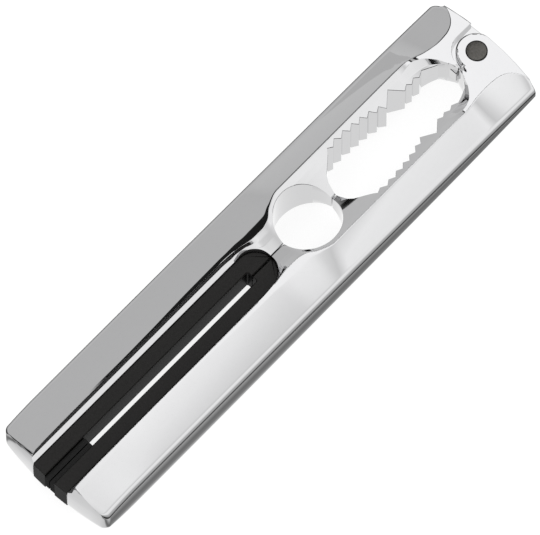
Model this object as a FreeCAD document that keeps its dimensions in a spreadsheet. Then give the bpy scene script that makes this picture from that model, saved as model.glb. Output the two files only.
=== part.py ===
"""Two-lever nutcracker: chromed die-cast arms on one hinge, with black grip inlays.

Row frame, millimetres: +X runs along the tool from the handle ends to the hinge, +Y points
from the lower arm to the upper arm, +Z is up.  The tool lies flat, closed, with its crests on
the plane Z = 0, and the origin is under the middle of its bounding box.
"""
import FreeCAD, Part
import Sketcher
import math
import os

SIZES = {
    "length": 175.0, "width": 38.2, "thickness": 19.6,
    "gap": 0.15,             # each arm stops this far short of the parting plane
    "end_bow": 87.0,         # radius of the bowed end faces, seen from above
    "corner": 2.0,           # outer corners, seen from above
    "wall_half": 2.85,       # half height of the hinge tongue
    "side_nose": 1.3,        # width of the rounded shoulder above the outer side wall
    "side_rise": 1.8,        # height of that shoulder
    "crest_land": 0.8,       # flat top of each crest, which is what the tool rests on
    "grip_half": 4.8, "grip_depth": 6.2, "grip_end": -6.2, "grip_play": 0.02,
    "grip_slot": 1.75, "slot_to": -7.5, "block_end": -72.0, "block_half": 3.0,
    "dowel_radius": 1.0, "dowel_length": 5.0, "dowel_pitch": 32.0, "dowel_first": -76.0,
    "hole_x": 14.6, "hole_radius": 9.6,
    "jaw_left": 25.8, "jaw_right": 74.7, "tooth_pitch": 3.1, "tooth_depth": 0.95,
    "hinge_x": 82.0, "pad_half": 5.5,
    "knuckle_radius": 5.7, "pocket_radius": 6.8, "tongue_radius": 5.4, "fork_radius": 6.1,
    "fork_play": 0.35, "fork_depth": 6.1,
    "pin_radius": 2.0, "bush_play": 0.04, "bush_radius": 2.8,
    "cap_radius": 3.05, "cap_height": 0.8,
    "washer_radius": 4.4, "washer_height": 0.3,
}

# The dome of an arm, station by station along X: height of the surface at the parting plane,
# foot of the inner slope (Y, height), crest (Y, height) and top of the outer side wall (height),
# all from the parting planes.
STATIONS = [
    (-90.0, 4.8, 6.2, 4.8, 7.9, 9.8, 5.1),
    (-8.0, 4.8, 6.2, 4.8, 7.9, 9.8, 4.2),
    (-2.0, 5.6, 5.2, 5.8, 6.9, 9.2, 4.1),
    (4.0, 6.2, 4.9, 6.3, 6.8, 8.7, 4.0),
    (9.0, 4.8, 5.8, 6.8, 9.4, 9.3, 3.9),
    (14.0, 4.0, 6.8, 6.8, 10.9, 9.8, 3.8),
    (24.0, 3.0, 7.4, 6.6, 10.9, 9.8, 3.6),
    (30.0, 3.0, 7.6, 6.6, 10.9, 9.8, 3.5),
    (38.0, 3.0, 7.8, 6.8, 10.9, 9.8, 3.3),
    (50.0, 3.0, 7.8, 6.8, 10.9, 9.8, 3.0),
    (58.0, 3.0, 7.8, 6.8, 10.9, 9.8, 2.8),
    (65.0, 3.2, 7.4, 5.6, 10.9, 9.6, 2.5),
    (69.0, 3.8, 7.0, 4.6, 10.2, 8.2, 2.3),
    (72.0, 5.0, 6.6, 5.4, 9.5, 6.9, 2.2),
    (76.0, 5.5, 6.9, 5.55, 9.1, 5.75, 2.0),
    (82.0, 5.5, 7.4, 5.55, 9.6, 5.65, 1.8),
    (90.0, 5.5, 8.6, 5.5, 12.4, 5.5, 1.7),
]

doc = FreeCAD.newDocument("nutcracker")
sheet = doc.addObject("Spreadsheet::Sheet", "Dimensions")
for row, (alias, value) in enumerate(SIZES.items(), start=1):
    sheet.set(f"A{row}", alias)
    sheet.set(f"B{row}", str(value))
    sheet.setAlias(f"B{row}", alias)
doc.recompute()


def size(alias):
    """A driving dimension, read back from the sheet."""
    return float(sheet.get(alias))


MID = size("thickness") / 2
HALF_LENGTH = size("length") / 2
HALF_WIDTH = size("width") / 2
HINGE = "Dimensions.hinge_x"
MIDDLE = "Dimensions.thickness / 2"


def bind(item, **expressions):
    """Binds properties to the sheet; x, y and z stand for the placement."""
    names = {"x": "Placement.Base.x", "y": "Placement.Base.y", "z": "Placement.Base.z"}
    for name, expression in expressions.items():
        item.setExpression(names.get(name, name), expression)
    return item


def block(name, **expressions):
    return bind(doc.addObject("Part::Box", name), **expressions)


def cylinder(name, **expressions):
    return bind(doc.addObject("Part::Cylinder", name), **expressions)


def fuse(name, shapes):
    item = doc.addObject("Part::MultiFuse", name)
    item.Shapes = shapes
    return item


def cut(name, base, tool):
    item = doc.addObject("Part::Cut", name)
    item.Base, item.Tool = base, tool
    return item


def common(name, base, tool):
    item = doc.addObject("Part::Common", name)
    item.Base, item.Tool = base, tool
    return item


def feature(name, shape):
    item = doc.addObject("Part::Feature", name)
    item.Shape = shape
    return item


def section(station, side):
    """One closed cross-section of an arm blank, on side +1 (upper arm) or -1 (lower arm)."""
    x, inner_height, foot_y, foot_height, crest_y, crest_height, side_height = station
    land = size("crest_land") / 2
    nose, rise = size("side_nose"), size("side_rise")
    top = [
        (size("gap"), inner_height),
        (foot_y, foot_height),
        (crest_y - land, crest_height),
        (crest_y + land, crest_height),
        (HALF_WIDTH - nose, side_height + rise),
        (HALF_WIDTH - 0.3 * nose, side_height + 0.6 * rise),
        (HALF_WIDTH, side_height),
    ]
    ring = top + [(y, -height) for y, height in reversed(top)]
    points = [FreeCAD.Vector(x, side * y, MID + height) for y, height in ring]
    return Part.makePolygon(points + points[:1])


def outline(side):
    """Plan of one arm: bowed ends, a straight side and rounded outer corners."""
    bow, corner = size("end_bow"), size("corner")
    centre = bow - HALF_LENGTH                   # the bow's centre, past the middle of the tool
    corner_y = HALF_WIDTH - corner
    corner_x = math.sqrt((bow - corner) ** 2 - corner_y ** 2) - centre
    lean = math.atan2(corner_y, corner_x + centre)
    tangent = FreeCAD.Vector(bow * math.cos(lean) - centre, side * bow * math.sin(lean), 0)
    middle_lean = (lean + math.pi / 2) / 2
    middle = FreeCAD.Vector(corner_x + corner * math.cos(middle_lean),
                            side * (corner_y + corner * math.sin(middle_lean)), 0)
    side_end = FreeCAD.Vector(corner_x, side * HALF_WIDTH, 0)
    half = lean / 2
    bow_middle = FreeCAD.Vector(bow * math.cos(half) - centre, side * bow * math.sin(half), 0)
    nose = FreeCAD.Vector(HALF_LENGTH, 0, 0)

    def flip(point):
        return FreeCAD.Vector(-point.x, point.y, 0)

    edges = [
        Part.Arc(nose, bow_middle, tangent).toShape(),
        Part.Arc(tangent, middle, side_end).toShape(),
        Part.LineSegment(side_end, flip(side_end)).toShape(),
        Part.Arc(flip(side_end), flip(middle), flip(tangent)).toShape(),
        Part.Arc(flip(tangent), flip(bow_middle), flip(nose)).toShape(),
        Part.LineSegment(flip(nose), nose).toShape(),
    ]
    face = Part.Face(Part.Wire(edges))
    return face.extrude(FreeCAD.Vector(0, 0, size("thickness")))


def tooth_row(first_x, count, envelope):
    """Small right-angled teeth whose tips lie on the envelope: tip, valley, tip, ..."""
    pitch, depth = size("tooth_pitch"), size("tooth_depth")
    points = []
    for step in range(count):
        x = first_x + pitch * step
        points.append((x, envelope(x)))
        points.append((x + pitch / 2, envelope(x + pitch / 2) + depth))
    return points[:-1]


def jaw_contour():
    """The upper half of the jaw opening, from its handle end to its hinge end."""
    left, right = size("jaw_left"), size("jaw_right")
    points = [(left, 0.0)]
    arc_radius_x, arc_radius_y, arc_steps = 6.8, 8.9, 8
    for step in range(1, arc_steps + 1):
        angle = math.pi / 2 * step / arc_steps
        points.append((left + arc_radius_x * (1 - math.cos(angle)), arc_radius_y * math.sin(angle)))

    def nut_side(x):
        """Tips of the walnut teeth: a flat arc, deepest near its handle end."""
        return 8.55 - 0.0098 * (x - 37.5) ** 2

    points += tooth_row(34.2, 7, nut_side)
    points.append((56.2, 9.0))                   # apex of the large notch
    points += tooth_row(59.7, 4, lambda x: 5.9)
    points += [(right - 4.7, 5.9), (right - 1.8, 4.3), (right - 0.4, 2.1)]
    points.append((right, 0.0))
    return points


def jaw_tool():
    """The jaw opening as a prism through both arms."""
    upper = jaw_contour()
    ring = upper + [(x, -y) for x, y in reversed(upper[1:-1])]
    vectors = [FreeCAD.Vector(x, y, 0) for x, y in ring]
    face = Part.Face(Part.makePolygon(vectors + vectors[:1]))
    return face.extrude(FreeCAD.Vector(0, 0, size("thickness")))


def arm_blank(name, side):
    """Lofted dome of one arm, trimmed to its plan."""
    dome = Part.makeLoft([section(station, side) for station in STATIONS], True, True)
    plan = outline(side)
    return common(f"{name}_blank", feature(f"{name}_dome", dome), feature(f"{name}_plan", plan))


def grip_channel(name, play):
    """The space of both inlays together, from the handle ends to the round end."""
    depth = f"Dimensions.grip_depth + {play}"
    run = block(f"{name}_run", Length=f"Dimensions.length / 2 + Dimensions.grip_end",
                Width=f"2 * ({depth})", Height="Dimensions.thickness",
                x="-Dimensions.length / 2", y=f"-({depth})")
    nose = cylinder(f"{name}_nose", Radius=depth, Height="Dimensions.thickness", x="Dimensions.grip_end")
    return fuse(name, [run, nose])


def dowels(name, side, extra="0"):
    """The three short dowels that key an inlay to its arm, or with extra size their holes."""
    rods = []
    for number in range(3):
        rod = cylinder(f"{name}_{number + 1}", Radius=f"Dimensions.dowel_radius + {extra}",
                       Height=f"Dimensions.dowel_length + 2 * ({extra})",
                       x=f"Dimensions.dowel_first + {number} * Dimensions.dowel_pitch",
                       y=f"{side} * (Dimensions.grip_depth - Dimensions.dowel_length / 2 - ({extra}))",
                       z=MIDDLE)
        rod.Placement.Rotation = FreeCAD.Rotation(FreeCAD.Vector(1, 0, 0), -90 * side)
        rods.append(rod)
    return fuse(name, rods)


def hinge_cylinder(name, radius, low, high):
    """A cylinder about the hinge axis between two heights from the middle plane."""
    return cylinder(name, Radius=radius, Height=f"({high}) - ({low})", x=HINGE, z=f"{MIDDLE} + ({low})")


def both_faces(name, make):
    """The same cutter above and below the middle plane."""
    return fuse(name, [make(f"{name}_top", 1), make(f"{name}_bottom", -1)])


def finish_arm(name, side, own_tools, extras):
    blank = arm_blank(name, side)
    body = fuse(f"{name}_body", [blank] + extras) if extras else blank
    hole = cylinder(f"{name}_hole", Radius="Dimensions.hole_radius", Height="Dimensions.thickness",
                    x="Dimensions.hole_x")
    jaw = feature(f"{name}_jaw", jaw_tool())
    channel = grip_channel(f"{name}_channel", "Dimensions.grip_play")
    holes = dowels(f"{name}_dowel_holes", side, "Dimensions.grip_play")
    tools = fuse(f"{name}_cutters", [hole, jaw, channel, holes] + own_tools)
    return cut(name, body, tools)


def pocket(name, face):
    """Clearance in the upper arm for one leaf of the lower arm's fork."""
    low = "Dimensions.wall_half" if face > 0 else "-Dimensions.thickness / 2"
    high = "Dimensions.thickness / 2" if face > 0 else "-Dimensions.wall_half"
    ring = hinge_cylinder(f"{name}_ring", "Dimensions.pocket_radius", low, high)
    straight = block(f"{name}_straight", Length="Dimensions.length / 2 - Dimensions.hinge_x + 1",
                     Width="2 * Dimensions.pocket_radius", Height=f"({high}) - ({low})",
                     x=HINGE, y="-Dimensions.pocket_radius", z=f"{MIDDLE} + ({low})")
    return fuse(name, [ring, straight])


def upper_arm():
    tongue = hinge_cylinder("tongue", "Dimensions.tongue_radius", "-Dimensions.wall_half", "Dimensions.wall_half")
    bore = hinge_cylinder("tongue_bore", "Dimensions.bush_radius", "-Dimensions.thickness / 2", "Dimensions.thickness / 2")
    tools = [both_faces("leaf_pocket", pocket), bore]
    return finish_arm("upper_arm", 1, tools, [tongue])


def lower_arm():
    leaves = hinge_cylinder("leaves", "Dimensions.knuckle_radius", "-Dimensions.pad_half", "Dimensions.pad_half")
    reach = "Dimensions.wall_half + Dimensions.fork_play"
    slot_disc = hinge_cylinder("fork_slot_disc", "Dimensions.fork_radius", f"-({reach})", reach)
    slot_box = block("fork_slot_box", Length="Dimensions.length / 2 - Dimensions.hinge_x + 1",
                     Width="Dimensions.fork_depth + Dimensions.knuckle_radius + 1", Height=f"2 * ({reach})",
                     x=HINGE, y="-Dimensions.fork_depth", z=f"{MIDDLE} - ({reach})")
    bore = hinge_cylinder("pin_bore", "Dimensions.pin_radius", "-Dimensions.thickness / 2", "Dimensions.thickness / 2")
    seat = "Dimensions.pad_half - Dimensions.cap_height"
    caps = [hinge_cylinder("cap_seat_top", "Dimensions.cap_radius", seat, "Dimensions.thickness / 2"),
            hinge_cylinder("cap_seat_bottom", "Dimensions.cap_radius", "-Dimensions.thickness / 2", f"-({seat})")]
    return finish_arm("lower_arm", -1, [slot_disc, slot_box, bore] + caps, [leaves])


def half_space(name, side, half, left, right, outer):
    """A slab on one side of the parting plane, centred on the middle plane."""
    depth = f"({outer}) - Dimensions.gap"
    return block(name, Length=f"({right}) - ({left})", Width=depth, Height=f"2 * ({half})", x=left,
                 y="Dimensions.gap" if side > 0 else f"-({outer})", z=f"{MIDDLE} - ({half})")


def grip_inlay(name, side):
    """Black grip bar on the inner side of one handle."""
    slab = half_space(f"{name}_slab", side, "Dimensions.grip_half", "-Dimensions.length / 2", "0",
                      "Dimensions.width / 2")
    trimmed = common(f"{name}_trim", slab, grip_channel(f"{name}_space", "0"))
    bar = common(f"{name}_bar", trimmed, feature(f"{name}_plan", outline(side)))
    slot = block(f"{name}_slot", Length="Dimensions.length / 2 + Dimensions.slot_to",
                 Width="2 * Dimensions.grip_slot", Height="Dimensions.thickness",
                 x="-Dimensions.length / 2", y="-Dimensions.grip_slot")
    holes = dowels(f"{name}_dowel_holes", side, "Dimensions.grip_play")
    return cut(name, bar, fuse(f"{name}_cutters", [slot, holes]))


def stop_block(name, side):
    """Low block in the slot at the handle end, which the other arm's block closes on."""
    slab = half_space(f"{name}_slab", side, "Dimensions.block_half", "-Dimensions.length / 2",
                      "Dimensions.block_end", "Dimensions.grip_slot")
    return common(name, slab, feature(f"{name}_plan", outline(side)))


def turned(name, outer, inner, low, high):
    """A turned piece about the hinge axis: a padded ring or disc whose sizes follow the sheet."""
    body = doc.addObject("PartDesign::Body", name)
    plane = next(item for item in body.Origin.OriginFeatures if item.Role == "XY_Plane")
    sketch = body.newObject("Sketcher::SketchObject", f"{name}_sketch")
    sketch.AttachmentSupport = (plane, [""])
    sketch.MapMode = "FlatFace"
    for number, radius in enumerate([outer, inner] if inner else [outer]):
        sketch.addGeometry(Part.Circle(FreeCAD.Vector(0, 0, 0), FreeCAD.Vector(0, 0, 1), 5.0 - number))
        sketch.addConstraint(Sketcher.Constraint("Coincident", number, 3, -1, 1))
        index = sketch.addConstraint(Sketcher.Constraint("Radius", number, 5.0 - number))
        sketch.setExpression(f"Constraints[{index}]", radius)
    pad = body.newObject("PartDesign::Pad", f"{name}_pad")
    pad.Profile = sketch
    pad.setExpression("Length", f"({high}) - ({low})")
    bind(body, x=HINGE, z=f"{MIDDLE} + ({low})")
    return body


def hinge_parts():
    """Pin, bush, thrust washers and end caps, all turned about the hinge axis."""
    pin_half = "Dimensions.pad_half - Dimensions.cap_height"
    tongue = "Dimensions.wall_half"
    washer = "Dimensions.wall_half + Dimensions.washer_height"
    top = "Dimensions.pad_half"
    return {
        "pivot_pin": turned("pivot_pin", "Dimensions.pin_radius", None, f"-({pin_half})", pin_half),
        "pivot_bush": turned("pivot_bush", "Dimensions.bush_radius",
                             "Dimensions.pin_radius + Dimensions.bush_play", f"-{tongue}", tongue),
        "pivot_washer_top": turned("pivot_washer_top", "Dimensions.washer_radius",
                                   "Dimensions.pin_radius + Dimensions.bush_play", tongue, washer),
        "pivot_washer_bottom": turned("pivot_washer_bottom", "Dimensions.washer_radius",
                                      "Dimensions.pin_radius + Dimensions.bush_play",
                                      f"-({washer})", f"-{tongue}"),
        "pivot_cap_top": turned("pivot_cap_top", "Dimensions.cap_radius", None, pin_half, top),
        "pivot_cap_bottom": turned("pivot_cap_bottom", "Dimensions.cap_radius", None,
                                   f"-{top}", f"-({pin_half})"),
    }


nodes = {
    "upper_arm": upper_arm(),
    "lower_arm": lower_arm(),
    "upper_grip": grip_inlay("upper_grip", 1),
    "lower_grip": grip_inlay("lower_grip", -1),
    "upper_grip_dowels": dowels("upper_grip_dowels", 1),
    "lower_grip_dowels": dowels("lower_grip_dowels", -1),
    "upper_stop_block": stop_block("upper_stop_block", 1),
    "lower_stop_block": stop_block("lower_stop_block", -1),
}
nodes.update(hinge_parts())
doc.recompute()

os.makedirs("parts", exist_ok=True)
for item in doc.Objects:
    if "Invalid" in item.State or "Error" in item.State:
        raise SystemExit(f"{item.Name}: {item.State}")
for node, item in nodes.items():
    item.Label = node
    shape = item.Shape
    if shape.isNull() or not shape.isValid() or not shape.Solids:
        raise SystemExit(f"{node} has no valid shape")
    shape.exportStep(f"parts/{node}.step")
    box = shape.BoundBox
    print(f"{node}: {len(shape.Solids)} solid(s), {shape.Volume:.1f} mm3, "
          f"x {box.XMin:.2f}..{box.XMax:.2f} y {box.YMin:.2f}..{box.YMax:.2f} z {box.ZMin:.2f}..{box.ZMax:.2f}")
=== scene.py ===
import math

import bmesh
import bpy
import numpy as np
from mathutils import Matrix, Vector


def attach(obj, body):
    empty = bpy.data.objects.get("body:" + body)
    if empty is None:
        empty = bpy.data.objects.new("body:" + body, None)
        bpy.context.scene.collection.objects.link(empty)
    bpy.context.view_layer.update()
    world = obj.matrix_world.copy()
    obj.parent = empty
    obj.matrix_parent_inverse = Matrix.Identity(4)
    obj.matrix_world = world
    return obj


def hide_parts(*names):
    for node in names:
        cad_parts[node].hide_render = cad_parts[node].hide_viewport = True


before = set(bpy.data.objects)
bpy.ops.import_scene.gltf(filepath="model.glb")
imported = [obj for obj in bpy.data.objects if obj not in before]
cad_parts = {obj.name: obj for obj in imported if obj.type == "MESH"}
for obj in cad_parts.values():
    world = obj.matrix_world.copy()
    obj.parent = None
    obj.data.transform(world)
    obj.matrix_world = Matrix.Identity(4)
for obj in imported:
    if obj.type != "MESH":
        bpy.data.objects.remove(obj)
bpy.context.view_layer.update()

# The CAD model's dimensions, in mm; heights are over the middle plane.
MM = 0.001
HALF_LENGTH, HALF_WIDTH = 87.5, 19.1
MID_Z = 9.8                                # the middle plane's own height over the resting plane
GAP = 0.15                                 # from each arm to the parting plane
BOW, BOW_REACH = 87.0, 10.5                # radius of the bowed ends in plan, and how far in they act
PIVOT_X = 82.0
HOLE_X, HOLE_R = 14.6, 9.6
JAW_LEFT, JAW_RIGHT = 25.8, 74.7
GRIP_DEPTH, GRIP_END, GRIP_TOP = 6.2, -6.2, 4.8
SLOT_EDGE, SLOT_END = 1.75, -7.5           # slot between the grips: half width and closed end
LEAF_R, SLOT_R, POCKET_R, TONGUE_R = 5.7, 6.1, 6.8, 5.4
LEAF_LOW, TONGUE_Z = 3.2, 2.85             # underside of the fork's leaf, top of the tongue
CAP_SEAT = 4.7                             # bottom of the pivot caps


# ---------------------------------------------------------------- small helpers

def lerp(a, b, t):
    return a + (b - a) * t


def smoothstep(a, b, x):
    t = min(max((x - a) / (b - a), 0.0), 1.0)
    return t * t * (3 - 2 * t)


class Curve:
    """Monotone cubic through stations: smooth, without overshoot."""

    def __init__(self, points):
        self.x = [p[0] for p in points]
        self.y = [p[1] for p in points]
        n = len(points)
        step = [(self.y[i + 1] - self.y[i]) / (self.x[i + 1] - self.x[i]) for i in range(n - 1)]
        slope = [step[0]] + [0.0] * (n - 2) + [step[-1]]
        for i in range(1, n - 1):
            if step[i - 1] * step[i] > 0:
                slope[i] = 2 * step[i - 1] * step[i] / (step[i - 1] + step[i])
        self.slope = slope

    def __call__(self, x):
        if x <= self.x[0]:
            return self.y[0]
        if x >= self.x[-1]:
            return self.y[-1]
        i = max(k for k in range(len(self.x) - 1) if self.x[k] <= x)
        width = self.x[i + 1] - self.x[i]
        t = (x - self.x[i]) / width
        a, b = self.y[i], self.y[i + 1]
        ma, mb = self.slope[i] * width, self.slope[i + 1] * width
        return ((2 * t**3 - 3 * t**2 + 1) * a + (t**3 - 2 * t**2 + t) * ma
                + (-2 * t**3 + 3 * t**2) * b + (t**3 - t**2) * mb)


# ---------------------------------------------------------------- shape of one arm
# All lengths in mm; y is the distance from the parting plane, z the height over the middle plane.
# From the parting plane outwards, the top runs from PART over FOOT and STEP up to CREST, and then
# down the dome to the shoulder and the side wall. Each curve gives one of these along x.

# height of the nose that closes the handle end
END_TOP = [(-87.5, 3.0), (-87.35, 4.2), (-87.1, 5.3), (-86.7, 6.4), (-86.2, 7.3), (-85.7, 8.0),
           (-85.0, 8.8), (-84.0, 9.6), (-83.0, 12.0)]
# the slope from the parting plane up to the crest: place and height of each corner
FOOT_Y = Curve([(-8, 6.2), (-3, 5.0), (1, 3.0), (4, 3.0), (9, 5.4), (14, 6.6), (24, 7.0), (28, 7.2),
                (33, 7.6), (60, 7.6), (65, 7.4), (69.2, 6.9), (71.9, 5.2), (73, 3.9), (74, 1.9),
                (74.7, 0.7), (75, 0.5), (87.5, 0.5)])
FOOT_Z = Curve([(-8, 4.8), (-3, 6.4), (1, 7.1), (9, 7.2), (14, 7.1), (24, 7.3), (28, 7.4), (33, 7.6),
                (60, 7.6), (66, 6.8), (69, 6.0), (72, 5.4), (74.5, 5.6), (76, 5.85), (77, 5.7), (79, 5.5),
                (87.5, 4.9)])
PART_Z = Curve([(-8, 4.8), (-3, 5.8), (2, 6.0), (6, 5.4), (9, 4.7), (14, 4.0), (24, 3.0), (33, 2.8),
                (60, 2.8), (68, 3.0), (72, 3.9), (74.7, 5.4), (76, 5.85), (77, 5.7), (79, 5.5),
                (87.5, 4.9)])
STEP_Y = Curve([(-8, 7.5), (-3, 6.2), (1, 4.7), (4, 4.7), (9, 7.4), (14, 8.6), (24, 9.0), (33, 9.2),
                (62, 9.2), (65.8, 9.9), (68.9, 9.0), (72.2, 5.9), (74.6, 1.6), (76, 1.0), (87.5, 1.0)])
STEP_Z = Curve([(-8, 6.0), (-3, 7.6), (1, 8.0), (4, 8.0), (9, 8.4), (14, 8.3), (24, 8.55), (33, 8.7),
                (62, 8.6), (66, 8.85), (69, 7.95), (72, 7.0), (75, 6.15), (77, 5.72), (79, 5.5),
                (87.5, 4.9)])
CREST_Y = Curve([(-87.5, 7.55), (-12, 7.5), (-6, 7.1), (0, 6.3), (3, 6.3), (6, 7.0), (9, 9.1),
                 (14, 10.85), (65, 10.85), (68, 10.4), (71, 9.7), (74, 9.3), (77, 9.1), (80, 9.3),
                 (82, 9.8), (84, 10.9), (86, 13.0), (87.5, 15.5)])
CREST_Z = Curve([(-87.5, 7.7), (-86, 8.2), (-84, 8.7), (-80, 9.2), (-70, 9.55), (-50, 9.7), (-8, 9.75),
                 (0, 9.0), (4, 8.9), (9, 9.4), (14, 9.75), (60, 9.75), (63, 9.5), (66, 8.85), (69, 7.95),
                 (72, 7.0), (75, 6.15), (77, 5.72), (79, 5.5), (87.5, 4.9)])
# the narrow band beside the crest, its slope, and how far the crest's rounding reaches
LEAN_WIDTH = Curve([(-87.5, 1.7), (-80, 1.5), (-68, 0.9), (-50, 0.5), (-40, 0.6), (-25, 1.0), (-10, 1.2),
                    (0, 2.3), (3, 2.3), (6, 1.7), (10, 0.6), (14, 0.35), (65, 0.35), (76, 0.3),
                    (87.5, 0.25)])
LEAN = Curve([(-87.5, 0.30), (-80, 0.27), (-68, 0.235), (-50, 0.16), (-40, 0.14), (87.5, 0.14)])
CREST_ROUND = Curve([(-87.5, 0.12), (-10, 0.2), (2, 0.5), (9, 0.3), (14, 0.15), (87.5, 0.15)])
# how far the dome stands over a straight slope at its middle, and the top of the side wall
BULGE = Curve([(-87.5, 0.0), (-76, 0.0), (-60, 0.18), (-30, 0.18), (0, 0.1), (16, 0.12), (62, 0.12),
               (80, 0.03), (87.5, 0.0)])
SIDE_TOP = Curve([(-87.5, 3.2), (-84, 3.8), (-80, 4.4), (-74, 4.8), (-29, 4.6), (0, 4.1), (27, 3.5),
                  (55, 2.9), (80, 1.5), (84, 1.25), (87.5, 0.9)])
SHOULDER_IN, SHOULDER_UP = 1.35, 1.85      # the rounded shoulder over the side wall: width and height
EDGE = 0.12                                # small break between an inner wall and the top
LEAF_CHAMFER = 0.45                        # round the fork's leaf
NO_CAP = 12.0                              # higher than any part of an arm
HINGE_NOSE_X, HINGE_NOSE = 87.1, (5.0, 4.6)  # where the hinge end's nose begins, and its heights
# outer corners in plan; the second is the lower arm's at the hinge end
CORNER, HINGE_CORNER = 2.0, 0.5


def end_top(x):
    """Height that the noses at both ends allow at x."""
    for (x0, z0), (x1, z1) in zip(END_TOP, END_TOP[1:]):
        if x <= x1:
            return lerp(z0, z1, (x - x0) / (x1 - x0))
    if x > HINGE_NOSE_X:
        return lerp(*HINGE_NOSE, (x - HINGE_NOSE_X) / (HALF_LENGTH - HINGE_NOSE_X))
    return NO_CAP


def outer_y(x, corner):
    """Half width at x, with the plan's rounded corner."""
    d = HALF_LENGTH - abs(x)
    if d >= corner:
        return HALF_WIDTH
    return HALF_WIDTH - corner + math.sqrt(max(corner**2 - (corner - d)**2, 0.0))


def jaw_points():
    """Jaw contour from the web to the hinge end: round end, row of teeth, notch, row of smaller teeth."""
    points = [(JAW_LEFT, GAP), (25.9, 1.0), (26.5, 3.5), (27.5, 5.0), (30.0, 7.0), (31.5, 8.3), (32.4, 9.4)]
    tips = [(34.0, 8.6), (37.3, 8.7), (40.6, 8.4), (43.7, 8.1), (46.6, 7.75), (49.7, 7.0), (52.6, 6.1)]
    tooth_depth = 1.25
    for (x, y), (nx, ny) in zip(tips, tips[1:]):
        points += [(x, y), ((x + nx) / 2, (y + ny) / 2 + tooth_depth)]
    points += [tips[-1], (56.2, 9.07), (59.8, 5.95), (61.2, 6.8), (62.5, 5.9), (64.0, 6.8), (65.5, 5.9),
               (67.3, 6.8), (69.2, 6.1), (71.9, 4.9), (74.0, 2.6), (JAW_RIGHT, GAP)]
    return points


JAW = jaw_points()


def inner_contours(x, upper):
    """Inner edge at x: (edge of the top face, wall of the middle layer)."""
    if x < GRIP_END:
        y = GRIP_DEPTH
    elif x < 0:
        y = max(math.sqrt(GRIP_DEPTH**2 - (x - GRIP_END)**2), GAP)
    elif abs(x - HOLE_X) < HOLE_R:
        y = max(math.sqrt(HOLE_R**2 - (x - HOLE_X)**2), GAP)
    elif JAW_LEFT <= x <= JAW_RIGHT:
        y = GAP
        for (x0, y0), (x1, y1) in zip(JAW, JAW[1:]):
            if x0 <= x <= x1:
                y = lerp(y0, y1, (x - x0) / (x1 - x0))
                break
    else:
        y = GAP
    top = middle = y
    dx = x - PIVOT_X
    if upper:
        if dx > 0:
            top = POCKET_R
        elif -dx < POCKET_R:
            top = max(math.sqrt(POCKET_R**2 - dx**2), GAP)
        middle = top
    else:
        if abs(dx) < LEAF_R:
            top = min(-math.sqrt(LEAF_R**2 - dx**2), GAP)
        if dx > 0:
            middle = SLOT_R
        elif -dx < SLOT_R:
            middle = max(math.sqrt(SLOT_R**2 - dx**2), GAP)
    return top, middle


def inner_height(x, y):
    """Height of the inner slope, from the parting plane up to the crest."""
    nodes = [(0.0, PART_Z(x)), (FOOT_Y(x), FOOT_Z(x)), (STEP_Y(x), STEP_Z(x)), (CREST_Y(x), CREST_Z(x))]
    if y <= 0:
        return nodes[0][1]
    for (y0, z0), (y1, z1) in zip(nodes, nodes[1:]):
        if y <= y1:
            return lerp(z0, z1, (y - y0) / (y1 - y0))
    return nodes[-1][1]


def dome_height(x, y, crease_y):
    """Height of the outer dome between crest and crease."""
    crest_y, crest_z, lean = CREST_Y(x), CREST_Z(x), LEAN_WIDTH(x)
    if y <= crest_y + lean:
        return crest_z - LEAN(x) * (y - crest_y)
    crest_y, crest_z = crest_y + lean, crest_z - LEAN(x) * lean
    t = min(max((y - crest_y) / (crease_y - crest_y), 0.0), 1.0)
    return lerp(crest_z, SIDE_TOP(x) + SHOULDER_UP, t) + BULGE(x) * 4 * t * (1 - t)


def rounded(corner, before, after, reach, count):
    """Points of a small curve that replaces a corner of a cross-section."""
    c, b, a = np.array(corner), np.array(before), np.array(after)
    db, da = np.linalg.norm(b - c), np.linalg.norm(a - c)
    start = c + (b - c) * min(reach / max(db, 1e-9), 0.48)
    end = c + (a - c) * min(reach / max(da, 1e-9), 0.48)
    points = []
    for k in range(count + 1):
        t = k / count
        points.append((1 - t)**2 * start + 2 * t * (1 - t) * c + t**2 * end)
    return points


def cut_by_nose(x, cap, crease_y, top_y):
    """Where the end's nose cuts the inner slope and the dome at x; the crest where it cuts neither."""
    crest_y = CREST_Y(x)
    cut_in = cut_out = crest_y
    dome = [(y, dome_height(x, y, crease_y)) for y in np.linspace(crest_y, crease_y, 120)]
    for (y0, z0), (y1, z1) in zip(dome, dome[1:]):
        if z0 >= cap >= z1:
            cut_out = lerp(y0, y1, (z0 - cap) / max(z0 - z1, 1e-9))
            break
    if dome[-1][1] > cap:
        cut_out = crease_y
    if CREST_Z(x) > cap:
        slope = [(y, inner_height(x, y)) for y in np.linspace(max(top_y, 0), crest_y, 160)]
        cut_in = slope[0][0]
        for (y0, z0), (y1, z1) in zip(slope, slope[1:]):
            if z0 <= cap <= z1:
                cut_in = lerp(y0, y1, (cap - z0) / max(z1 - z0, 1e-9))
                break
    return cut_in, cut_out


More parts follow.
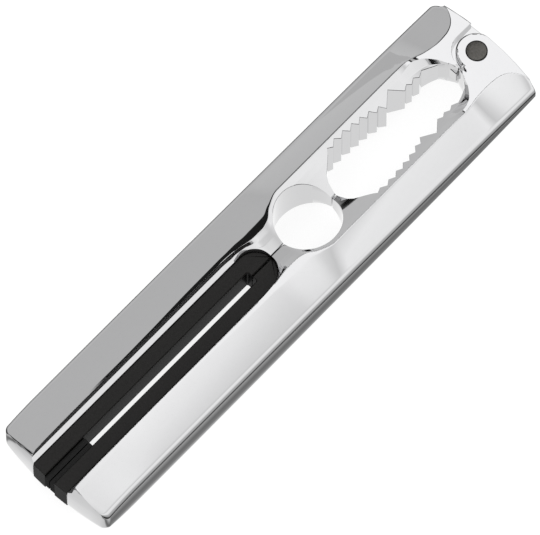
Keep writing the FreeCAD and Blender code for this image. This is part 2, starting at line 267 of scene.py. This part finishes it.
def ridge(x, step, cut_in, cut_out, height, dome_at, crease_y):
    """Points from the step over the crest, or over the nose's flat top, to the start of the dome."""
    lean = LEAN_WIDTH(x)
    cap = end_top(x)
    cut = cap < CREST_Z(x) - 0.02
    if cut:
        corner_a = (cut_in, height(cut_in))
        corner_b = (max(cut_out - 0.8 * lean, lerp(cut_in, cut_out, 0.5)), cap)
        corner_c = dome_at(min(cut_out + 0.2 * lean, crease_y - 0.05))
    else:
        crest_y = CREST_Y(x)
        corner_a = (crest_y, height(crest_y))
        corner_b = dome_at(crest_y + 0.02)
        corner_c = dome_at(crest_y + lean)
    after = dome_at(lerp(corner_c[0], crease_y, 0.2))
    reach = CREST_ROUND(x)
    arc_a = rounded(corner_a, step, corner_b if cut else corner_c, min(reach, 0.2), 5)
    arc_b = rounded(corner_b, corner_a, corner_c, reach if cut else 0.01, 4)
    arc_c = rounded(corner_c, corner_b, after, reach, 6)
    rows = list(np.linspace(step, arc_a[0], 5, endpoint=False)) + arc_a
    rows += list(np.linspace(arc_a[-1], arc_b[0], 4)[1:-1]) + arc_b
    rows += list(np.linspace(arc_b[-1], arc_c[0], 5)[1:-1]) + arc_c
    return [tuple(p) for p in rows]


def shoulder(out_y, side_top, cap):
    """Points of the rounded shoulder between dome and side wall, and down the wall to the middle plane."""
    points = []
    crease_y, crease_z = out_y - SHOULDER_IN, side_top + SHOULDER_UP
    pull_y, pull_z = out_y - 0.28, side_top + 1.35
    for k in range(11):
        t = k / 10
        y = (1 - t)**2 * crease_y + 2 * t * (1 - t) * pull_y + t**2 * out_y
        z = (1 - t)**2 * crease_z + 2 * t * (1 - t) * pull_z + t**2 * side_top
        points.append((y, min(z, cap - 0.01 * k)))
    return points + [(out_y, min(side_top, cap) - 0.35), (out_y, 0.0)]


def column(x, upper, corner):
    """Cross-section ring of the arm at x, from the middle of the inner wall over the top."""
    top_y, middle_y = inner_contours(x, upper)
    out_y = outer_y(x, corner)
    cap = end_top(x)
    crease_y = out_y - SHOULDER_IN
    cut_in, cut_out = cut_by_nose(x, cap, crease_y, top_y)
    step_y = lerp(top_y, cut_in, 0.5)
    if cut_in > top_y + 0.5:
        step_y = min(max(STEP_Y(x), top_y + 0.3), cut_in - 0.02)
    foot_y = lerp(top_y, step_y, 0.5)
    if step_y > top_y + 0.3:
        foot_y = min(max(FOOT_Y(x), top_y + 0.2), step_y - 0.02)

    def height(y):
        z = min(inner_height(x, y), cap)
        if not upper and y < 0.8 and abs(x - PIVOT_X) < LEAF_R:
            inset = LEAF_R - math.hypot(x - PIVOT_X, min(y, 0.0))
            if inset < LEAF_CHAMFER:
                drop = LEAF_CHAMFER - max(inset, 0.0)
                z -= drop * smoothstep(0.8, 0.0, y) if y > 0 else drop
        return z

    def dome_at(y):
        return (y, min(dome_height(x, y, crease_y), cap))

    top_edge = height(top_y)
    leaf_low = min(LEAF_LOW, top_edge - 0.3)
    ring = [(middle_y, 0.0), (middle_y, leaf_low), (top_y, leaf_low), (top_y, top_edge - EDGE)]
    for y0, y1, n in ((top_y + EDGE, foot_y, 14), (foot_y, step_y, 8)):
        ring += [(y, height(y)) for y in np.linspace(y0, y1, n, endpoint=False)]
    ring += ridge(x, (step_y, height(step_y)), cut_in, cut_out, height, dome_at, crease_y)
    start_y = ring[-1][0]
    ring += [dome_at(lerp(start_y, crease_y, t)) for t in np.linspace(0, 1, 26)[1:-1]]
    return ring + shoulder(out_y, SIDE_TOP(x), cap)


# (from, to, spacing) of the cross-sections along x, dense where the plan or the section changes
STATION_RUNS = [(-87.5, -87.1, 0.05), (-87.1, -84.0, 0.12), (-84.0, -70.0, 0.5), (-70.0, -12.0, 1.0),
                (-12.0, 26.0, 0.25), (26.0, 70.0, 0.25), (70.0, 87.0, 0.15), (87.0, 87.5, 0.05)]
CLOSEST = 0.03


def plan_stations(upper):
    """X positions of the cross-sections."""
    xs = set()
    for a, b, spacing in STATION_RUNS:
        n = max(int(round((b - a) / spacing)), 1)
        xs.update(round(v, 5) for v in np.linspace(a, b, n + 1))
    for k in range(61):
        angle = math.pi * k / 60
        xs.add(round(HOLE_X + (HOLE_R - 0.001) * math.cos(angle), 5))
        if angle <= math.pi / 2:
            xs.add(round(GRIP_END + (GRIP_DEPTH - 0.001) * math.cos(angle), 5))
        for radius in (POCKET_R,) if upper else (LEAF_R, SLOT_R):
            x = PIVOT_X - (radius - 0.0005) * math.cos(angle)
            if x < HALF_LENGTH and (x < PIVOT_X or radius == LEAF_R):
                xs.add(round(x, 5))
    xs.update(x for x, _ in JAW)
    xs.update([JAW_LEFT + 0.001, JAW_RIGHT - 0.001, PIVOT_X, 0.0])
    ordered = sorted(x for x in xs if -HALF_LENGTH <= x <= HALF_LENGTH)
    kept = [ordered[0]]
    fixed = {round(x, 5) for x, _ in JAW} | {HALF_LENGTH, 0.0, PIVOT_X}
    for x in ordered[1:]:
        if x - kept[-1] > CLOSEST or x in fixed:
            kept.append(x)
    return kept


def bow(y):
    """How far a bowed end face lies behind its middle at y."""
    return BOW - math.sqrt(BOW**2 - y**2)


def bowed(x, y):
    """X of a point once both ends are bowed in plan, fading out over BOW_REACH from the end."""
    weight = min(max((abs(x) - (HALF_LENGTH - BOW_REACH)) / BOW_REACH, 0.0), 1.0)
    return x - math.copysign(weight * bow(y), x)


def new_object(name, verts, faces, body, material, smooth_angle=28.0):
    """A clean, smooth-shaded piece from verts in mm, riding on its body."""
    mesh = bpy.data.meshes.new(name)
    mesh.from_pydata([tuple(c * MM for c in v) for v in verts], [], faces)
    mesh.validate()
    bm = bmesh.new()
    bm.from_mesh(mesh)
    bmesh.ops.remove_doubles(bm, verts=bm.verts, dist=2e-6)
    bmesh.ops.dissolve_degenerate(bm, edges=bm.edges, dist=1e-7)
    bmesh.ops.recalc_face_normals(bm, faces=bm.faces)
    bm.to_mesh(mesh)
    bm.free()
    for polygon in mesh.polygons:
        polygon.use_smooth = True
    mesh.set_sharp_from_angle(angle=math.radians(smooth_angle))
    mesh.materials.append(material)
    piece = bpy.data.objects.new(name, mesh)
    bpy.context.scene.collection.objects.link(piece)
    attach(piece, body)
    return piece


def arm_mesh(upper):
    """One arm: rings of points, the same above and below the middle plane, closed at both ends."""
    side = 1 if upper else -1
    verts, faces, rings = [], [], []
    for x in plan_stations(upper):
        half = column(x, upper, HINGE_CORNER if x > 0 and not upper else CORNER)
        ring = half + [(y, -z) for y, z in reversed(half[1:-1])]
        rings.append(len(verts))
        for y, z in ring:
            verts.append((bowed(x, y), side * y, MID_Z + z))
        count, half_count = len(ring), len(half)
    for a, b in zip(rings, rings[1:]):
        for k in range(count):
            n = (k + 1) % count
            faces.append((a + k, a + n, b + n, b + k))
    for base in (rings[0], rings[-1]):
        ys = [side * verts[base + k][1] for k in range(half_count)]
        first = 0
        if ys[0] > ys[2] + 0.01:
            # the fork's slot is open at this end: close the two lips and the wall beside it
            first = next(k for k in range(3, half_count) if ys[k] >= ys[0])
            faces.append(tuple(base + k for k in range(1, first + 1)))
            faces.append(tuple(base + count - k for k in range(1, first + 1))[::-1])
            faces.append((base, base + 1, base + first, base + count - first, base + count - 1))
        for k in range(first, half_count - 1):
            faces.append((base + k, base + k + 1, base + count - k - 1, base + (count - k) % count))
    return verts, faces


# ---------------------------------------------------------------- materials

def node_material(name):
    material = bpy.data.materials.new(name)
    material.use_nodes = True
    tree = material.node_tree
    shader = next(n for n in tree.nodes if n.type == "BSDF_PRINCIPLED")
    return material, tree, shader


def noise(tree, scale, detail=3.0):
    texture = tree.nodes.new("ShaderNodeTexNoise")
    texture.inputs["Scale"].default_value = scale
    texture.inputs["Detail"].default_value = detail
    coords = tree.nodes.new("ShaderNodeTexCoord").outputs["Object"]
    tree.links.new(coords, texture.inputs["Vector"])
    return texture


def grain_bump(tree, grain, shader, strength, distance):
    node = tree.nodes.new("ShaderNodeBump")
    node.inputs["Strength"].default_value = strength
    node.inputs["Distance"].default_value = distance
    tree.links.new(grain.outputs["Fac"], node.inputs["Height"])
    tree.links.new(node.outputs["Normal"], shader.inputs["Normal"])


def grey(value):
    return (value, value, value)


def ramp(tree, source, stops):
    node = tree.nodes.new("ShaderNodeValToRGB")
    elements = node.color_ramp.elements
    while len(elements) < len(stops):
        elements.new(0.5)
    for element, (position, colour) in zip(elements, stops):
        element.position = position
        element.color = (*colour, 1)
    tree.links.new(source, node.inputs["Fac"])
    return node


def metal(name, low, high, rough_low, rough_high, scale=900, bump=0.02):
    """Metal whose colour and roughness vary a little with a fine grain."""
    material, tree, shader = node_material(name)
    shader.inputs["Metallic"].default_value = 1.0
    grain = noise(tree, scale)
    colour = ramp(tree, grain.outputs["Fac"], [(0.3, low), (0.7, high)])
    tree.links.new(colour.outputs["Color"], shader.inputs["Base Color"])
    rough = tree.nodes.new("ShaderNodeMapRange")
    rough.inputs["To Min"].default_value = rough_low
    rough.inputs["To Max"].default_value = rough_high
    tree.links.new(grain.outputs["Fac"], rough.inputs["Value"])
    tree.links.new(rough.outputs["Result"], shader.inputs["Roughness"])
    if bump:
        grain_bump(tree, grain, shader, bump, 0.00002)
    return material


# |z| of the surface normal, from an upright face to one that lies flat, over which a plastic's painted shade fades out
UPRIGHT, FLAT = 0.2, 0.6


def plastic(name, low, high, rough):
    """Fine-grained plastic with painted shade: darker and less glossy on upright faces than on flat ones.
    """
    material, tree, shader = node_material(name)
    grain = noise(tree, 1500, 4.0)
    colour = ramp(tree, grain.outputs["Fac"], [(0.3, low), (0.7, high)])
    facing = tree.nodes.new("ShaderNodeSeparateXYZ")
    tree.links.new(tree.nodes.new("ShaderNodeTexCoord").outputs["Normal"], facing.inputs["Vector"])
    flatness = tree.nodes.new("ShaderNodeMath")
    flatness.operation = "ABSOLUTE"
    tree.links.new(facing.outputs["Z"], flatness.inputs[0])
    # painted shade: the base colour is darkened on upright faces, and the gloss below lowers their specular
    # level
    painted_shading = ramp(tree, flatness.outputs["Value"], [(UPRIGHT, grey(0.12)), (FLAT, grey(1.0))])
    mix = tree.nodes.new("ShaderNodeVectorMath")
    mix.operation = "MULTIPLY"
    tree.links.new(colour.outputs["Color"], mix.inputs[0])
    tree.links.new(painted_shading.outputs["Color"], mix.inputs[1])
    tree.links.new(mix.outputs["Vector"], shader.inputs["Base Color"])
    gloss = tree.nodes.new("ShaderNodeMapRange")
    for socket, value in (("From Min", UPRIGHT), ("From Max", FLAT), ("To Min", 0.02), ("To Max", 0.16)):
        gloss.inputs[socket].default_value = value
    tree.links.new(flatness.outputs["Value"], gloss.inputs["Value"])
    tree.links.new(gloss.outputs["Result"], shader.inputs["Specular IOR Level"])
    shader.inputs["Roughness"].default_value = rough
    grain_bump(tree, grain, shader, 0.25, 0.00003)
    return material


CHROME = metal("chrome_plate", (0.527, 0.527, 0.532), (0.533, 0.533, 0.538), 0.03, 0.045, 700, 0.0)
# the black plastics carry painted shade on their upright faces (see plastic)
BLACK_GRIP = plastic("black_grip", (0.007, 0.0065, 0.006), (0.011, 0.0105, 0.010), 0.42)
BLACK_RUBBER = plastic("black_rubber", (0.006, 0.006, 0.006), (0.01, 0.01, 0.01), 0.6)
DARK_CAP = metal("dark_cap", (0.07, 0.068, 0.062), (0.11, 0.105, 0.10), 0.35, 0.5, 2500, 0.2)
STEEL = metal("ground_steel", (0.42, 0.42, 0.43), (0.52, 0.52, 0.53), 0.22, 0.34)
BRONZE = metal("bearing_bronze", (0.42, 0.28, 0.14), (0.52, 0.36, 0.19), 0.35, 0.5)

# the CAD nodes that keep their own shape
for node, material in (("pivot_pin", STEEL), ("pivot_washer_top", STEEL), ("pivot_washer_bottom", STEEL),
                       ("upper_grip_dowels", STEEL), ("lower_grip_dowels", STEEL), ("pivot_bush", BRONZE),
                       ("upper_stop_block", BLACK_RUBBER), ("lower_stop_block", BLACK_RUBBER)):
    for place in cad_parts[node].material_slots:
        place.material = material


# ---------------------------------------------------------------- pieces

def plate(outline, low, high, chamfer):
    """Closed plate from a plan outline, with chamfered edges; heights over the middle plane."""
    points = [np.array(p) for p in outline]
    count = len(points)
    inset = []
    for i, point in enumerate(points):
        before, after = points[i - 1], points[(i + 1) % count]
        d0 = (point - before) / max(np.linalg.norm(point - before), 1e-9)
        d1 = (after - point) / max(np.linalg.norm(after - point), 1e-9)
        normal = np.array([-(d0[1] + d1[1]), d0[0] + d1[0]])
        length = np.linalg.norm(normal)
        inset.append(point + normal / max(length, 1e-9) * chamfer)
    layers = [(inset, low), (points, low + chamfer), (points, high - chamfer), (inset, high)]
    verts = [(p[0], p[1], MID_Z + z) for ring, z in layers for p in ring]
    faces = []
    for layer in range(3):
        for i in range(count):
            j = (i + 1) % count
            a, b = layer * count + i, layer * count + j
            faces.append((a, b, b + count, a + count))
    faces.append(tuple(range(count))[::-1])
    faces.append(tuple(range(3 * count, 4 * count)))
    return verts, faces


INSET = 0.02                               # of a plate behind the chrome end faces


def tongue_outline():
    """Counter-clockwise plan of the upper arm's hinge tongue, running on into the arm."""
    points = []
    for k in range(49):
        angle = math.pi + math.pi * k / 48
        points.append((PIVOT_X + TONGUE_R * math.cos(angle), TONGUE_R * math.sin(angle)))
    for y in np.linspace(0.3, 9.0, 16):
        points.append((HALF_LENGTH - INSET - bow(y), y))
    points += [(74.0, 9.0), (74.0, 0.2), (PIVOT_X - TONGUE_R - 0.1, 0.2)]
    return points


def grip_outline(side):
    """Counter-clockwise plan of one grip: slot side, round tip, outer side and bowed end."""
    inner, outer = SLOT_EDGE, GRIP_DEPTH - 0.03
    angles = np.linspace(0.025, math.pi / 2, 40)
    points = [(GRIP_END + outer * math.cos(a), outer * math.sin(a)) for a in angles]

    def end(y):
        return (-(HALF_LENGTH - INSET - bow(y)), y)

    points += [end(y) for y in np.linspace(outer, inner, 6)]
    points += [(SLOT_END - 0.3, inner), (SLOT_END, inner - 0.3), (SLOT_END, GAP), (-0.1, GAP)]
    if side < 0:
        points = [(x, -y) for x, y in reversed(points)]
    return points


def turned(name, profile, material, flip):
    """Part of a pivot cap, turned about the hinge axis from (radius, height over the middle) points."""
    segments = 96
    verts, faces = [], []
    sign = -1 if flip else 1
    for radius, z in profile:
        for k in range(segments):
            angle = 2 * math.pi * k / segments
            verts.append((PIVOT_X + radius * math.cos(angle), radius * math.sin(angle), MID_Z + sign * z))
    for layer in range(len(profile) - 1):
        for k in range(segments):
            n = (k + 1) % segments
            a, b = layer * segments + k, layer * segments + n
            faces.append((a, b, b + segments, a + segments))
    faces.append(tuple(range(segments)))
    faces.append(tuple(range((len(profile) - 1) * segments, len(profile) * segments)))
    return new_object(name, verts, faces, "lower_lever", material)


for upper, name, body, node in ((True, "chrome_upper", "upper_lever", "upper_arm"),
                                (False, "chrome_lower", "lower_lever", "lower_arm")):
    verts, faces = arm_mesh(upper)
    piece = new_object(name, verts, faces, body, CHROME)
    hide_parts(node)

for side, body, node in ((1, "upper_lever", "upper_grip"), (-1, "lower_lever", "lower_grip")):
    verts, faces = plate(grip_outline(side), -GRIP_TOP, GRIP_TOP, 0.3)
    grip = new_object(f"{node}_moulding", verts, faces, body, BLACK_GRIP, 20.0)
    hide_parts(node)

verts, faces = plate(tongue_outline(), -TONGUE_Z, TONGUE_Z, 0.2)
new_object("chrome_tongue", verts, faces, "upper_lever", CHROME)

CAP_PROFILE = [(2.75, CAP_SEAT), (2.75, 5.52), (2.6, 5.6), (1.5, 5.63), (0.01, 5.64)]
# a black ring around each pivot cap stands in for the dark gap around the cap: painted shade
SHADE_RING_PROFILE = [(3.05, CAP_SEAT), (3.05, 5.53), (2.7, 5.54), (2.7, 4.72)]
for place, flip in (("top", False), ("bottom", True)):
    cap = turned(f"cap_{place}", CAP_PROFILE, DARK_CAP, flip)
    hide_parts(f"pivot_cap_{place}")
    turned(f"cap_shade_ring_{place}", SHADE_RING_PROFILE, BLACK_RUBBER, flip)


# ---------------------------------------------------------------- floor, light and camera

def floor_material():
    """White light table: mostly its own glow, so that only faint shadows fall on it."""
    material, tree, shader = node_material("floor_white")
    shader.inputs["Base Color"].default_value = (0.2, 0.2, 0.2, 1)
    shader.inputs["Roughness"].default_value = 0.9
    shader.inputs["Specular IOR Level"].default_value = 0.0
    shader.inputs["Emission Color"].default_value = (1, 1, 1, 1)
    shader.inputs["Emission Strength"].default_value = 0.86
    return material


# brightness of the mirrored floor, by the distance from the tool's long axis as a part of FLOOR_REACH
FLOOR_REACH = 0.2
# painted light and shade: bright bands and dark bands of contact shadow, seen only in the chrome's
# reflections
PAINTED_FLOOR_BANDS = [(0.06, 1.1), (0.101, 0.9), (0.106, 0.22), (0.112, 0.2), (0.115, 0.75), (0.12, 0.75),
               (0.126, 0.02), (0.16, 0.02), (0.21, 0.45), (0.3, 0.75)]


def mirrored_floor_material():
    """The floor as the chrome mirrors it: pale, with painted bright bands and painted contact-shadow bands
    along both long sides.
    """
    material = bpy.data.materials.new("floor_mirrored")
    material.use_nodes = True
    tree = material.node_tree
    tree.nodes.clear()
    out = tree.nodes.new("ShaderNodeOutputMaterial")
    glow = tree.nodes.new("ShaderNodeEmission")
    tree.links.new(glow.outputs["Emission"], out.inputs["Surface"])
    split = tree.nodes.new("ShaderNodeSeparateXYZ")
    tree.links.new(tree.nodes.new("ShaderNodeTexCoord").outputs["Object"], split.inputs["Vector"])
    side = tree.nodes.new("ShaderNodeMath")
    side.operation = "ABSOLUTE"
    tree.links.new(split.outputs["Y"], side.inputs[0])
    scaled = tree.nodes.new("ShaderNodeMath")
    scaled.operation = "DIVIDE"
    tree.links.new(side.outputs["Value"], scaled.inputs[0])
    scaled.inputs[1].default_value = FLOOR_REACH
    painted_shading = ramp(tree, scaled.outputs["Value"], [(place, grey(value)) for place, value in PAINTED_FLOOR_BANDS])
    tree.links.new(painted_shading.outputs["Color"], glow.inputs["Color"])
    return material


def floor_plane(name, material, height):
    reach = 6.0
    mesh = bpy.data.meshes.new(name)
    mesh.from_pydata([(-reach, -reach, 0), (reach, -reach, 0), (reach, reach, 0), (-reach, reach, 0)], [],
                     [(0, 1, 2, 3)])
    mesh.materials.append(material)
    plane = bpy.data.objects.new(name, mesh)
    bpy.context.scene.collection.objects.link(plane)
    plane.location = (0, 0, height)
    return plane


floor = floor_plane("floor", floor_material(), -0.0002)
floor.visible_glossy = False
mirrored = floor_plane("floor_mirrored", mirrored_floor_material(), -0.0003)
mirrored.visible_camera = False
mirrored.visible_diffuse = False
mirrored.visible_shadow = False
bpy.context.scene.view_settings.view_transform = "Standard"


# brightness of the surroundings by their angle in the plane across the tool: 0 lies towards the
# upper arm, 0.5 is straight up and 1 lies towards the lower arm
STUDIO_LIGHTS = [(0.0, grey(0.9)), (0.08, grey(0.85)), (0.14, grey(0.78)), (0.284, grey(0.80)),
                 (0.298, grey(0.02)), (0.35, grey(0.02)), (0.368, (1.65, 1.65, 1.66)), (0.56, grey(1.58)),
                 (0.61, grey(1.44)), (0.66, grey(1.22)), (0.71, grey(1.05)), (0.78, grey(1.5)),
                 (0.93, grey(1.35)), (1.0, grey(0.9))]


def studio_world():
    """Soft studio surroundings: bright softboxes, a dark gap and a pale horizon."""
    world = bpy.data.worlds.new("studio")
    bpy.context.scene.world = world
    world.use_nodes = True
    tree = world.node_tree
    background = tree.nodes["Background"]
    coords = tree.nodes.new("ShaderNodeTexCoord").outputs["Generated"]
    split = tree.nodes.new("ShaderNodeSeparateXYZ")
    tree.links.new(coords, split.inputs["Vector"])

    angle = tree.nodes.new("ShaderNodeMath")
    angle.operation = "ARCTAN2"
    tree.links.new(split.outputs["Z"], angle.inputs[0])
    tree.links.new(split.outputs["Y"], angle.inputs[1])
    across = tree.nodes.new("ShaderNodeMath")
    across.operation = "DIVIDE"
    tree.links.new(angle.outputs["Value"], across.inputs[0])
    across.inputs[1].default_value = math.pi
    lights = ramp(tree, across.outputs["Value"], STUDIO_LIGHTS)
    tree.links.new(lights.outputs["Color"], background.inputs["Color"])
    background.inputs["Strength"].default_value = 1.0


studio_world()

# the camera looks at the middle of the tool from DISTANCE metres, from above the handle ends and
# the lower arm's side
AZIMUTH, ELEVATION, DISTANCE = math.radians(-47.0), math.radians(69.0), 4.0
LENS, SENSOR_WIDTH = 984.0, 36.0
back = Vector((math.sin(AZIMUTH) * math.cos(ELEVATION), -math.cos(AZIMUTH) * math.cos(ELEVATION),
               math.sin(ELEVATION)))
camera_data = bpy.data.cameras.new("camera")
camera_data.sensor_width = SENSOR_WIDTH
camera_data.lens = LENS
camera_data.shift_x = -0.002037037
camera_data.shift_y = -0.006851852
camera = bpy.data.objects.new("camera", camera_data)
camera.location = Vector((0, 0, MID_Z * MM)) + back * DISTANCE
camera.rotation_euler = (-back).to_track_quat("-Z", "Y").to_euler()
bpy.context.scene.collection.objects.link(camera)
bpy.context.scene.camera = camera
